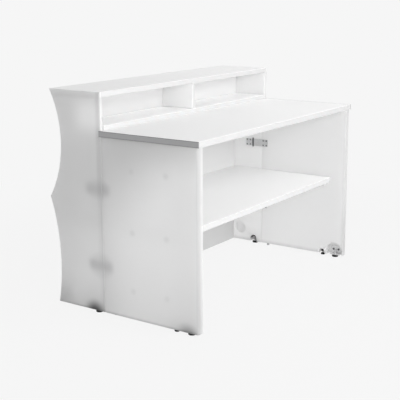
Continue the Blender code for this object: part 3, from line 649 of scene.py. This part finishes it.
def leg_material(context):
    """Leg: painted light and shade, darkest at the seam under the worktop, with painted soft shadows of the
    posts, plates and foot bracket.
    """
    finish = Finish("milky_leg")
    z = finish.z
    away = SEAM_Y - finish.y
    outer = outer_face(finish)
    recessed = recessed_part(finish)
    base = z.fall(0.0, 0.46)
    right = finish.x.rise(-0.1, 0.1)
    inwards = (HALF - abs(finish.x)).rise(0.0, HALF - INNER_FACE)
    bracket = middle("foot_bracket_left").y
    from_axis = arch_reach(finish, bracket, NICHE)
    outline = NICHE[0] / 2
    # Painted light and shade on the outer face, darkest at the seam under the worktop
    face_places = {
        "corner": (away - (z - 0.44).most(0.0)).fall(-0.36, 0.24),
        "under_top": z.rise(0.72, 0.90) * away.rise(0.05, 0.40),
        "near_seam": z.rise(0.50, 0.72) * away.fall(0.0, 0.16),
        "base": base,
        "lower_edge": base_line(finish, OUTER_EDGE),
        "heel": finish.blot(centre=(LEG_LOW.y + 0.060, 0.0), radii=(0.240, 0.100)),
        "staff_side": away.rise(0.34, 0.54),
    }
    # Painted shade on the inner face: towards the staff, inside the niche, round its rim and along the lower
    # edge
    inner_places = {
        "staff_side": away.rise(0.05, 0.55),
        "niche": from_axis.fall(outline - 0.001, outline + 0.001) * recessed,
        "niche_rim": from_axis.near(centre=outline + 0.0015, half=0.0015, soft=0.002) * (1 - recessed),
        "lower_edge": base_line(finish, INNER_EDGE) * (1 - recessed),
    }
    # Painted light and shade along the staff edge
    edge_places = {"right": right, "inwards": inwards, "right_inwards": right * inwards, "base": base}
    face = by_place(LEG_FACE, LEG_FACE_WEIGHTS, face_places)
    inner = by_place(LEG_INNER, LEG_INNER_WEIGHTS, inner_places)
    staff_edge = by_place(LEG_EDGE, LEG_EDGE_WEIGHTS, edge_places)
    on_edge = finish.y.fall(LEG_LOW.y + 0.006, LEG_LOW.y + 0.014)
    tone = either(on_edge, staff_edge, either(outer, face, inner))
    places = [(SEAM_Y + reach, height) for reach in POST_REACHES for height in POST_HEIGHTS]
    posts = total([finish.blot(place, (POST_SHADOW, POST_SHADOW), core=0.1) for place in places])
    through = posts * LEG_SHADOWS["posts"] + plate_shadows(finish) * LEG_SHADOWS["plates"]
    # Painted dark shadow of the foot bracket behind the outer skin
    dark_shade = finish.blot(centre=(bracket + 0.006, 0.006), radii=(0.082, 0.066), core=0.1)
    return milky_skin(finish, colours(context), tone, through * outer, dark_shade * outer * LEG_SHADOWS["foot"])


def wave_material(context):
    """Wave front, with painted shadows of the light channels behind it as faint darker bands."""
    finish = Finish("milky_wave")
    heights = [middle(f"light_channel_{level}").z for level in LIGHT_LEVELS]
    bands = total([finish.z.near(height, half=0.03, soft=0.06) for height in heights])
    return milky_skin(finish, colours(context), 1 - 0.05 * bands, bands * 0.07)


# Boards

def cabinet_back_tone(finish, low, high):
    """Tone of the cabinet's back with painted light and shade: lighter at the top, darker downwards and at
    the lower left.
    """
    up = (finish.z - low.z) / (high.z - low.z)
    places = {
        "lower_half": up.rise(0.0, 0.6),
        "upper_half": up.rise(0.55, 1.0),
        "left_low": up.fall(0.45, 0.85) * finish.x.fall(-0.15, 0.10),
        "right_half": finish.x.rise(0.0, 0.06),
    }
    return by_place(CABINET_BACK, CABINET_BACK_WEIGHTS, places)


def service_panel_shade(finish):
    """Shade on the service panel, which starts under the shelf and deepens towards the floor."""
    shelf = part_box("shelf")[0].z
    below = finish.z.fall(shelf - 0.01, shelf + 0.01)
    return below * (PANEL_SHADE + PANEL_SHADE_LOW * finish.z.fall(0.0, shelf - 0.04))


def board_tone(finish, node):
    """Tone of a board: one for all of it, or by place; on some boards it paints light and shade."""
    low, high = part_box(node)
    tone = BOARD_TONES.get(node, 1.0)
    if node in BOARD_FADES:
        axis, first, last = BOARD_FADES[node]
        tone = first + (last - first) * finish.axes[axis].rise(low[axis], high[axis])
    if node == "cabinet_back":
        tone = cabinet_back_tone(finish, low, high)
    if node == "service_panel":
        tone = tone * (1 - service_panel_shade(finish))
    if node == "shelf":
        tone = tone - SHELF_CORNER * finish.x.rise(0.0, 0.7) * finish.y.rise(low.y, high.y)
    return tone


def board_material(context, node):
    """White faced board with a fine pearl and a hairline where its edge band starts."""
    finish = Finish(f"white_{node}")
    low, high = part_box(node)
    insets = [
        (finish.axes[axis] - low[axis]).least(high[axis] - finish.axes[axis])
        for axis in range(3)
        if axis != BOARD_AXES[node]
    ]
    inset = insets[0].least(insets[1])
    hairline = inset.near(HAIRLINE, half=0.0003, soft=0.0004)
    pearl = finish.noise(scale=900.0)
    cloud = finish.noise(scale=2.4)
    tint = colours(context)
    face = finish.toned(tint.board, board_tone(finish, node) * (0.99 + 0.02 * cloud - 0.05 * hairline))
    band = finish.toned(tint.edge_band, EDGE_TONES.get(node, 1.0) * (0.99 + 0.02 * cloud))
    return finish.paint(
        Base_Color=finish.blend(inset.rise(*BAND_START), band, face),
        Roughness=0.36 + 0.08 * cloud + 0.06 * pearl,
        Normal=finish.bump(pearl, depth=0.0002, strength=0.25),
    )


# Metals and plastics

def aluminium_material(context):
    """Satin aluminium, brushed along the strip, with a dark line along its two long edges."""
    finish = Finish("satin_aluminium")
    low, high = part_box("worktop_strip_left")
    half = (high.z - low.z) / 2
    brushed = finish.noise(scale=1.0, detail=3.0, place=finish.stretched((4.0, 4.0, 1800.0)))
    cloud = finish.noise(scale=9.0)
    border = abs(finish.z - middle("worktop_strip_left").z).near(half - 0.0015, half=0.0015, soft=0.002)
    tone = 0.9 + 0.15 * brushed + 0.05 * cloud - 0.3 * border
    return finish.paint(
        Base_Color=finish.toned(colours(context).aluminium, tone),
        Roughness=0.38 + 0.14 * brushed,
        Normal=finish.bump(brushed, depth=0.0001, strength=0.3),
        Metallic=1.0,
    )


def zinc_material(context):
    """Zinc plate with a fine crystal pattern, darker rolled edges and painted light on its upward faces."""
    finish = Finish("zinc_plate")
    tint = colours(context)
    grains = finish.cells(scale=320.0)
    cloud = finish.noise(scale=40.0, detail=3.0)
    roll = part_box("lock_plate_upper_left")[0].y + 0.005
    rolled = finish.y.near(roll, half=0.006, soft=0.002) * finish.z.rise(0.1, 0.11)
    # Upward faces get painted light and are made less metallic
    normal = finish.node("ShaderNodeNewGeometry", {}, {}).other("Normal")
    upward_light = finish.node("ShaderNodeSeparateXYZ", {}, {"Vector": normal}).other("Z").rise(0.6, 0.9)
    zinc = finish.toned(tint.zinc, 0.9 + 0.12 * grains + 0.08 * cloud + 0.3 * upward_light)
    return finish.paint(
        Base_Color=finish.blend(rolled, zinc, finish.toned(tint.steel, 0.8 + 0.3 * cloud)),
        Roughness=0.34 + 0.12 * grains + 0.08 * cloud,
        Normal=finish.bump(cloud, depth=0.0002, strength=0.2),
        Metallic=1 - 0.7 * upward_light,
    )


def screw_material(context):
    """Dark steel of the screws, with a mottled sheen."""
    finish = Finish("screw_steel")
    cloud = finish.noise(scale=900.0, detail=3.0)
    return finish.paint(
        Base_Color=finish.toned(colours(context).steel, 0.8 + 0.5 * cloud),
        Roughness=0.34 + 0.2 * cloud,
        Normal=finish.bump(cloud, depth=0.0001, strength=0.3),
        Metallic=1.0,
    )


def foot_material(context):
    """Black pad with a zinc threaded stem."""
    finish = Finish("foot")
    tint = colours(context)
    stem = finish.z.rise(*STEM_START)
    thread = (finish.z * (math.tau / THREAD_PITCH)).sine()
    grain = finish.noise(scale=700.0)
    dust = finish.noise(scale=60.0, detail=3.0)
    pad = finish.toned(tint.black, 0.8 + 1.2 * dust)
    # The thread's grooves are painted darker, as shade in them
    metal = finish.toned(tint.zinc, 0.8 + 0.2 * thread)
    return finish.paint(
        Base_Color=finish.blend(stem, pad, metal),
        Metallic=stem,
        Roughness=0.55 - 0.2 * stem + 0.1 * dust,
        Specular_IOR_Level=0.2,
        Normal=finish.bump(stem * thread + (1 - stem) * grain * 0.3, depth=0.0004, strength=0.6),
    )


def black_material(context):
    """Black plastic with a moulded grain and paler worn places."""
    finish = Finish("black_plastic")
    grain = finish.noise(scale=900.0)
    worn = finish.noise(scale=160.0, detail=3.0)
    return finish.paint(
        Base_Color=finish.toned(colours(context).black, 0.7 + 1.2 * worn),
        Roughness=0.42 + 0.16 * worn,
        Specular_IOR_Level=0.2,
        Normal=finish.bump(grain, depth=0.0002, strength=0.4),
    )


def grey_material(context):
    """Grey plastic with a fine moulded grain."""
    finish = Finish("grey_plastic")
    grain = finish.noise(scale=800.0)
    cloud = finish.noise(scale=30.0)
    return finish.paint(
        Base_Color=finish.toned(colours(context).grey, 0.95 + 0.1 * cloud),
        Roughness=0.48 + 0.08 * cloud + 0.06 * grain,
        Normal=finish.bump(grain, depth=0.0002, strength=0.4),
    )


def light_strip_material(context):
    """White strip with a row of yellow light chips and copper pads at its cutting marks."""
    finish = Finish("light_strip")
    tint = colours(context)
    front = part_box("light_strip_middle")[1].y
    face = finish.y.rise(front - 0.0006, front - 0.0003)
    heights = [middle(f"light_strip_{level}").z for level in LIGHT_LEVELS]
    rows = total([finish.z.near(height, half=CHIP_HALF, soft=0.0003) for height in heights])
    chip = (finish.x % CHIP_PITCH).near(CHIP_PITCH / 2, half=CHIP_HALF, soft=0.0003) * rows * face
    pad = (finish.x % MARK_PITCH).near(0.0, half=MARK_HALF, soft=0.0003) * face
    cloud = finish.noise(scale=120.0)
    base = finish.toned(tint.strip, 0.96 + 0.06 * cloud)
    return finish.paint(
        Base_Color=finish.blend(chip, finish.blend(pad * 0.8, base, tint.copper), tint.chip),
        Roughness=0.40 - 0.15 * chip + 0.05 * cloud,
        Normal=finish.bump(chip, depth=0.0006, strength=0.6),
    )


# Screws, bushes, grips and soles

def ring_of(mesh, radii, angles, height):
    """A ring of corners, one for each angle."""
    return [
        mesh.verts.new((radius * math.cos(angle), radius * math.sin(angle), height))
        for radius, angle in zip(radii, angles)
    ]


def skin_rings(mesh, rings):
    """Faces between each ring and the next."""
    for lower, upper in zip(rings, rings[1:]):
        for i in range(len(lower)):
            j = (i + 1) % len(lower)
            mesh.faces.new((lower[i], lower[j], upper[j], upper[i]))


def move_rings(mesh, rings, matrix):
    """Moves the corners of rings by a matrix."""
    corners = [corner for ring in rings for corner in ring]
    bmesh.ops.transform(mesh, matrix=matrix, verts=corners)


def cross_reach(angle, reach, width):
    """Distance from the middle of a cross recess to its edge, in one direction."""
    folded = angle % (math.pi / 2)
    folded = min(folded, math.pi / 2 - folded)
    if math.tan(folded) <= width / reach:
        return reach / math.cos(folded)
    return width / math.sin(folded)


def flat_reach(angle, flat):
    """Distance from the middle of a hexagon to its edge, in one direction."""
    return flat / math.cos((angle + math.pi / 6) % (math.pi / 3) - math.pi / 6)


def piece(name, mesh, body, material):
    """A piece of its own from a mesh, carried by a body."""
    bmesh.ops.recalc_face_normals(mesh, faces=mesh.faces)
    data = bpy.data.meshes.new(name)
    mesh.to_mesh(data)
    mesh.free()
    data.shade_smooth()
    data.set_sharp_from_angle(angle=SHARP_ANGLE)
    data.materials.append(material)
    item = bpy.data.objects.new(name, data)
    bpy.context.scene.collection.objects.link(item)
    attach(item, body)


def turned_piece(name, profile, place, body, material):
    """A black ring round a vertical axis; its profile gives radii, heights and which steps have six flats."""
    angles = [math.tau * (step + 0.5) / RING_CORNERS for step in range(RING_CORNERS)]
    mesh = bmesh.new()
    rings = []
    for radius, height, six in profile:
        radii = [flat_reach(angle, radius) if six else radius for angle in angles]
        rings.append(ring_of(mesh, radii, angles, height))
    skin_rings(mesh, rings + rings[:1])
    move_rings(mesh, rings, Matrix.Translation(place))
    piece(name, mesh, body, material)


def bush_profile(sizes):
    """Profile of a domed bush under the crown of a recess."""
    bore = ((BUSH_BORE, BUSH_TOP), (BUSH_BORE, BUSH_LOW + BUSH_EASE), (BUSH_BORE + BUSH_EASE, BUSH_LOW))
    dome = [(sizes.bush_radius - inset, level) for inset, level in BUSH_DOME]
    return [(radius, level, False) for radius, level in (*bore, *dome)]


def grip_profile(sizes):
    """Profile of the six-sided grip that a foot is turned by."""
    flat, high = sizes.grip_flat, sizes.grip_height
    return (
        (GRIP_BORE, 0.0, False),
        (flat - GRIP_EASE, 0.0, True),
        (flat, GRIP_EASE, True),
        (flat, high - GRIP_SLOPE[1], True),
        (flat - GRIP_SLOPE[0], high, True),
        (COLLAR_RADII[0], high, False),
        (COLLAR_RADII[1], high + COLLAR_HEIGHT, False),
        (GRIP_BORE, high + COLLAR_HEIGHT, False),
    )


def sole_profile(radius):
    """Profile of the rubber sole round a foot's pad."""
    return (
        (SOLE_BORE, SOLE_LOW, False),
        (radius - SOLE_LOW_SLOPE[0], SOLE_LOW, False),
        (radius, SOLE_LOW + SOLE_LOW_SLOPE[1], False),
        (radius, SOLE_HIGH - SOLE_HIGH_SLOPE[1], False),
        (radius - SOLE_HIGH_SLOPE[0], SOLE_HIGH, False),
        (SOLE_BORE, SOLE_HIGH, False),
    )


def foot_axis(foot, height):
    """Point on a foot's axis at a height."""
    axis = middle(foot)
    return Vector((axis.x, axis.y, height))


def pan_head(mesh, sizes, matrix):
    """A pan-head screw with a cross recess, made on Z = 0 with its shank down and moved by a matrix."""
    corner = math.atan(sizes.recess_width / sizes.recess_reach)
    between = (corner + math.pi / 4) / 2
    quarter = (0.0, corner, between, math.pi / 4, math.pi / 2 - between, math.pi / 2 - corner)
    angles = [turn * math.pi / 2 + angle for turn in range(4) for angle in quarter]
    edge = [cross_reach(angle, sizes.recess_reach, sizes.recess_width) for angle in angles]
    radius, height = sizes.screw_radius, sizes.screw_height
    rings = []
    for share, level in HEAD_STEPS:
        rings.append(ring_of(mesh, [radius * share] * len(angles), angles, height * level))
    rings.append(ring_of(mesh, edge, angles, height))
    rings.append(ring_of(mesh, [value * RECESS_FLOOR[0] for value in edge], angles, height * RECESS_FLOOR[1]))
    skin_rings(mesh, rings)
    mesh.faces.new(rings[0][::-1])
    mesh.faces.new(rings[-1])
    move_rings(mesh, rings, matrix)


def screws(name, seats, out, sizes, scale, material):
    """Screws with their heads on seats, facing out along X, as one piece."""
    mesh = bmesh.new()
    turn = Vector((0.0, 0.0, 1.0)).rotation_difference(Vector((out, 0.0, 0.0))).to_matrix().to_4x4()
    for index, seat in enumerate(seats):
        twist = Matrix.Rotation(SCREW_TWIST * index, 4, "Z")
        pan_head(mesh, sizes, Matrix.Translation(seat) @ turn @ twist @ Matrix.Scale(scale, 4))
    piece(name, mesh, "counter", material)


def plate_seats(side_name, side):
    """Places of the screws on the plates at one end, on the plates' inner faces."""
    face = side * (INNER_FACE - PLATE_STANDS)
    seats = []
    for level in PLATE_LEVELS:
        for kind, inward in (("seam", 1.0), ("lock", -1.0)):
            low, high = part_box(f"{kind}_plate_{level}_{side_name}")
            outer_end = low.y if kind == "seam" else high.y
            height = (low.z + high.z) / 2
            for inset in (PLATE_HOLE_INSET, PLATE_HOLE_INSET + PLATE_HOLE_PITCH):
                for rise in (-PLATE_HOLE_ROW, PLATE_HOLE_ROW):
                    seats.append(Vector((face, outer_end + inward * inset, height + rise)))
    return seats


def bracket_seats(side_name, side):
    """Places of the two screws on a foot bracket's upright."""
    low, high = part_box(f"foot_bracket_{side_name}")
    face = side * (max(abs(low.x), abs(high.x)) - BRACKET_SHEET)
    y = (low.y + high.y) / 2
    height = high.z - BRACKET_HOLE_DROP
    return [Vector((face, y + shift, height)) for shift in (-BRACKET_HOLE_SPREAD, BRACKET_HOLE_SPREAD)]


# Stage

def lamp(name, place, aim, size, power):
    """A softbox aimed at a point."""
    light = bpy.data.lights.new(name, "AREA")
    light.shape = "RECTANGLE"
    light.size, light.size_y = size
    light.energy = power
    item = bpy.data.objects.new(name, light)
    item.location = place
    item.rotation_euler = (Vector(aim) - Vector(place)).to_track_quat("-Z", "Y").to_euler()
    bpy.context.scene.collection.objects.link(item)


def room(level, backdrop):
    """Even light of the room, with a pale background for the camera."""
    world = bpy.data.worlds.new("studio")
    bpy.context.scene.world = world
    world.use_nodes = True
    nodes = Nodes(world.node_tree)
    even = nodes.node("ShaderNodeBackground", {}, {"Color": (1.0, 1.0, 1.0), "Strength": level})
    pale = nodes.node("ShaderNodeBackground", {}, {"Color": backdrop, "Strength": 1.0})
    nodes.show("World Output", nodes.seen_directly(), even, pale)


def floor_material(tint, share):
    """Pale floor that keeps a faint shadow near the counter and melts into the background."""
    finish = Finish("studio_floor")
    away = (finish.x * finish.x + finish.y * finish.y) ** 0.5
    speckle = finish.noise(scale=25.0, detail=3.0)
    finish.paint(Base_Color=finish.toned(tint.floor, 0.98 + 0.04 * speckle), Roughness=0.9)
    pale = finish.node("ShaderNodeEmission", {}, {"Color": tint.backdrop, "Strength": 1.0})
    return finish.overlay(finish.seen_directly() * (1 - share * away.fall(*FLOOR_FADE)), pale)


def studio_floor(radius, material):
    """A round floor under the counter."""
    mesh = bmesh.new()
    bmesh.ops.create_circle(mesh, cap_ends=True, segments=FLOOR_CORNERS, radius=radius)
    data = bpy.data.meshes.new("studio_floor")
    mesh.to_mesh(data)
    mesh.free()
    data.materials.append(material)
    item = bpy.data.objects.new("studio_floor", data)
    bpy.context.scene.collection.objects.link(item)


def photo_camera():
    """Camera at the photograph's viewing angle."""
    data = bpy.data.cameras.new("photo_camera")
    data.sensor_fit = "HORIZONTAL"
    data.sensor_width = SENSOR_WIDTH
    data.lens = FOCAL_PIXELS * SENSOR_WIDTH / PHOTO_PIXELS
    data.shift_y = (AXIS_ROW - PHOTO_PIXELS / 2) / PHOTO_PIXELS
    turn = Matrix.Rotation(math.radians(CAMERA_TURN), 4, "Z")
    dip = Matrix.Rotation(math.radians(90 - CAMERA_DIP), 4, "X")
    roll = Matrix.Rotation(math.radians(CAMERA_ROLL), 4, "Z")
    item = bpy.data.objects.new("photo_camera", data)
    item.matrix_world = Matrix.Translation(CAMERA_PLACE) @ turn @ dip @ roll
    bpy.context.scene.collection.objects.link(item)
    bpy.context.scene.camera = item


# Operators

class COUNTER_OT_mouldings(bpy.types.Operator):
    """Finishes the moulded ends, the legs and the wave front"""

    bl_idname = "counter.mouldings"
    bl_label = "Milky mouldings"

    def execute(self, context):
        dress(end_material(context), "end_shell_left", "end_shell_right")
        dress(leg_material(context), "leg_left", "leg_right")
        dress(wave_material(context), "wave_front")
        return {"FINISHED"}


class COUNTER_OT_boards(bpy.types.Operator):
    """Finishes the white boards"""

    bl_idname = "counter.boards"
    bl_label = "White boards"

    def execute(self, context):
        for node in BOARD_AXES:
            dress(board_material(context, node), node)
        return {"FINISHED"}


class COUNTER_OT_edge_strips(bpy.types.Operator):
    """Finishes the metal strips on the worktop's ends"""

    bl_idname = "counter.edge_strips"
    bl_label = "Edge strips"

    def execute(self, context):
        dress(aluminium_material(context), "worktop_strip_left", "worktop_strip_right")
        return {"FINISHED"}


class COUNTER_OT_fittings(bpy.types.Operator):
    """Finishes the plates and brackets and adds their screws"""

    bl_idname = "counter.fittings"
    bl_label = "Plates and screws"

    def execute(self, context):
        zinc = zinc_material(context)
        steel = screw_material(context)
        sizes = context.scene.counter_sizes
        for name, side in SIDES.items():
            dress(zinc, f"foot_bracket_{name}")
            for level in PLATE_LEVELS:
                dress(zinc, f"seam_plate_{level}_{name}", f"lock_plate_{level}_{name}")
            screws(f"plate_screws_{name}", plate_seats(name, side), -side, sizes, 1.0, steel)
            seats = bracket_seats(name, side)
            screws(f"bracket_screws_{name}", seats, -side, sizes, BRACKET_SCREW_SCALE, steel)
        return {"FINISHED"}


class COUNTER_OT_feet(bpy.types.Operator):
    """Finishes the levelling feet and the glides and adds the feet's soles, grips and bushes"""

    bl_idname = "counter.feet"
    bl_label = "Feet and glides"

    def execute(self, context):
        feet = [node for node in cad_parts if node.startswith("foot_") and "bracket" not in node]
        dress(foot_material(context), *feet)
        dress(grey_material(context), "glide_left", "glide_right")
        sizes = context.scene.counter_sizes
        black = black_material(context)
        grip_height = END_LOW.z + sizes.grip_gap
        for side in SIDES:
            edge, second, staff = (f"foot_{side}_{kind}" for kind in ("leg_edge", "leg_middle", "end_staff"))
            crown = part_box(staff)[1].z - STEM_GRIP
            turned_piece(f"{edge}_sole", sole_profile(sizes.niche_sole), foot_axis(edge, 0.0), edge, black)
            turned_piece(f"{staff}_sole", sole_profile(sizes.end_sole), foot_axis(staff, 0.0), staff, black)
            turned_piece(f"{second}_grip", grip_profile(sizes), foot_axis(second, grip_height), second, black)
            turned_piece(f"foot_bush_{side}", bush_profile(sizes), foot_axis(staff, crown), "counter", black)
        return {"FINISHED"}


class COUNTER_OT_lighting(bpy.types.Operator):
    """Finishes the light channels, strips, driver and leads"""

    bl_idname = "counter.lighting"
    bl_label = "Lighting"

    def execute(self, context):
        channel = aluminium_material(context)
        strip = light_strip_material(context)
        grey = grey_material(context)
        for level in LIGHT_LEVELS:
            dress(channel, f"light_channel_{level}")
            dress(strip, f"light_strip_{level}")
            dress(grey, f"light_lead_{level}")
        dress(grey, "light_driver")
        return {"FINISHED"}


class COUNTER_OT_stage(bpy.types.Operator):
    """Sets the studio floor, the lights and the photograph's camera"""

    bl_idname = "counter.stage"
    bl_label = "Studio stage"

    def execute(self, context):
        scene = context.scene
        light = scene.counter_stage
        tint = colours(context)
        scene.view_settings.view_transform = "Standard"
        photo_camera()
        room(light.room, tint.backdrop)
        studio_floor(scene.counter_sizes.floor_radius, floor_material(tint, light.floor_share))
        for name, (place, aim, size) in SOFTBOXES.items():
            lamp(f"{name}_softbox", place, aim, size, getattr(light, name))
        return {"FINISHED"}


class COUNTER_PT_panel(bpy.types.Panel):
    """Lists the counter's pieces and stage"""

    bl_idname = "COUNTER_PT_panel"
    bl_label = "Bar counter"
    bl_space_type = "VIEW_3D"
    bl_region_type = "UI"
    bl_category = "Bar counter"

    def draw(self, context):
        for operator in OPERATORS:
            self.layout.operator(operator.bl_idname)


OPERATORS = (
    COUNTER_OT_stage,
    COUNTER_OT_mouldings,
    COUNTER_OT_boards,
    COUNTER_OT_edge_strips,
    COUNTER_OT_fittings,
    COUNTER_OT_feet,
    COUNTER_OT_lighting,
)
CLASSES = (CounterSizes, CounterColours, CounterStage, *OPERATORS, COUNTER_PT_panel)


def register():
    for item in CLASSES:
        bpy.utils.register_class(item)
    bpy.types.Scene.counter_sizes = PointerProperty(type=CounterSizes)
    bpy.types.Scene.counter_colours = PointerProperty(type=CounterColours)
    bpy.types.Scene.counter_stage = PointerProperty(type=CounterStage)


def unregister():
    del bpy.types.Scene.counter_stage
    del bpy.types.Scene.counter_colours
    del bpy.types.Scene.counter_sizes
    for item in reversed(CLASSES):
        bpy.utils.unregister_class(item)


def main():
    register()
    bpy.ops.counter.stage()
    bpy.ops.counter.mouldings()
    bpy.ops.counter.boards()
    bpy.ops.counter.edge_strips()
    bpy.ops.counter.fittings()
    bpy.ops.counter.feet()
    bpy.ops.counter.lighting()


if __name__ == "__main__":
    main()
